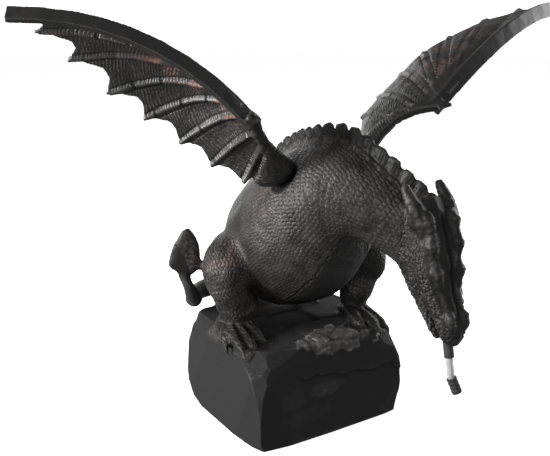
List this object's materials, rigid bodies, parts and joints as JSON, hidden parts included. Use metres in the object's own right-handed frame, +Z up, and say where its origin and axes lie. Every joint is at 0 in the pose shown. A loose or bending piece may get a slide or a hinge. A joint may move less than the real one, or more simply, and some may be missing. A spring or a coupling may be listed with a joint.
{
  "type": "dragon statue",
  "caption": "Garden dragon statue: a crouching dragon with spread wings and a bowed head, cast on a faceted rock, with a short water spout in its mouth.",
  "frame": {"origin": "centre of the rock's flat underside", "axes": "+Z up, -Y to the dragon's front, +X to the dragon's own left"},
  "size_m": [0.5127, 0.2931, 0.375],
  "materials": {
    "black_resin": "painted cast resin, satin black",
    "wing_resin": "painted cast resin, satin black, dry-brushed bronze",
    "clear_hose": "clear flexible tube",
    "black_rubber": "matt black"
  },
  "bodies": {
    "root": {"dragon_on_rock": "black_resin", "wing_right": "wing_resin", "wing_left": "wing_resin", "spout_hose": "clear_hose", "spout_sleeve": "black_rubber", "spout_tip": "black_rubber"}
  },
  "joints": []
}
